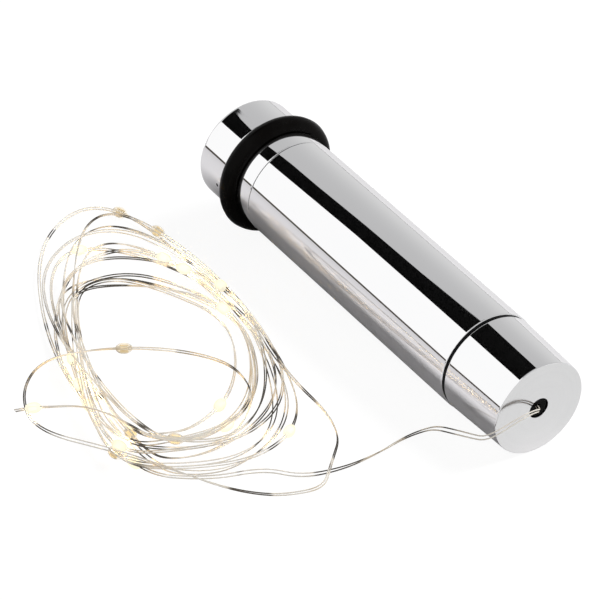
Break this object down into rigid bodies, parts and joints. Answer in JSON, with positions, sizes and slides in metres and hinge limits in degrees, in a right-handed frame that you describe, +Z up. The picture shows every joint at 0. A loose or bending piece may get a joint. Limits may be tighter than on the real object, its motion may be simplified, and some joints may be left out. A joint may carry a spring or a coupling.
{
  "type": "bottle light",
  "caption": "Chrome bottle stopper light with a twist head, rubber ring, battery tube and a fine wire of warm light points.",
  "frame": {"origin": "middle of the underside of the light without its wire, on the floor it lies on", "axes": "+X along the light from the twist head to the wire end, +Z up; it lies on its rubber ring and the tube's rim, nose down by 1.9 degrees"},
  "size_m": [0.1, 0.0766, 0.022],
  "materials": {
    "battery_tube": "mirror chrome plating",
    "front_cap": "mirror chrome plating, satin turned end face",
    "insulating_sleeve": "translucent white sleeve",
    "cell_can": "dull plated can",
    "cell_wrap": "plain dark shrink sleeve",
    "cell_nub": "bright plated cap",
    "cell_seal": "white seal ring",
    "board_holder": "black moulded plastic",
    "ground_strip": "stamped spring strip",
    "positive_contact": "stamped contact leaf",
    "driver_board": "green circuit board",
    "driver_chip": "black moulded chip",
    "inductor": "dark ferrite drum",
    "capacitors": "tan ceramic blocks",
    "diode": "black moulded block",
    "wire_grommet": "soft black rubber",
    "wire_stop": "crimped ferrule",
    "inner_leads": "lacquered copper wire",
    "plug_core": "black moulded plastic",
    "neck_collar": "mirror chrome plating",
    "sealing_ring": "black rubber with a soft sheen",
    "negative_contact": "plated contact plate",
    "battery_spring": "plated spring wire",
    "live_stud": "turned rivet",
    "ground_stud": "turned rivet",
    "ground_tab": "stamped tab",
    "pivot_screw": "zinc-plated screw",
    "pivot_washer": "zinc-plated washer",
    "head_shell": "mirror chrome plating, satin end face",
    "head_core": "black moulded plastic",
    "wiper_contact": "stamped wiper",
    "wire_lead": "two lacquered strands, silvery",
    "wire_coil": "two lacquered strands, silvery",
    "wire_tail": "two lacquered strands, silvery",
    "led_beads": "clear resin drops, lit warm white",
    "led_chips": "yellow light chips, lit warm white"
  },
  "bodies": {
    "light_tube": {"battery_tube": "battery_tube", "front_cap": "front_cap", "insulating_sleeve": "insulating_sleeve", "cell_can": "cell_can", "cell_wrap": "cell_wrap", "cell_nub": "cell_nub", "cell_seal": "cell_seal", "board_holder": "board_holder", "ground_strip": "ground_strip", "positive_contact": "positive_contact", "driver_board": "driver_board", "driver_chip": "driver_chip", "inductor": "inductor", "capacitors": "capacitors", "diode": "diode", "wire_grommet": "wire_grommet", "wire_stop": "wire_stop", "inner_leads": "inner_leads", "wire_lead": "wire_lead", "wire_coil": "wire_coil", "wire_tail": "wire_tail", "led_beads": "led_beads", "led_chips": "led_chips"},
    "plug": {"plug_core": "plug_core", "neck_collar": "neck_collar", "sealing_ring": "sealing_ring", "negative_contact": "negative_contact", "battery_spring": "battery_spring", "live_stud": "live_stud", "ground_stud": "ground_stud", "ground_tab": "ground_tab", "pivot_screw": "pivot_screw", "pivot_washer": "pivot_washer"},
    "head": {"head_shell": "head_shell", "head_core": "head_core", "wiper_contact": "wiper_contact"}
  },
  "joints": [
    {"name": "plug_pull", "type": "slide", "parent": "light_tube", "child": "plug", "axis": [-0.9995, 0, 0.0331], "range_m": [0, 0.03]},
    {"name": "head_twist", "type": "hinge", "parent": "plug", "child": "head", "pos_m": [-0.03482, 0, 0.01106], "axis": [0.9995, 0, -0.0331], "range_deg": [0, 90]}
  ]
}
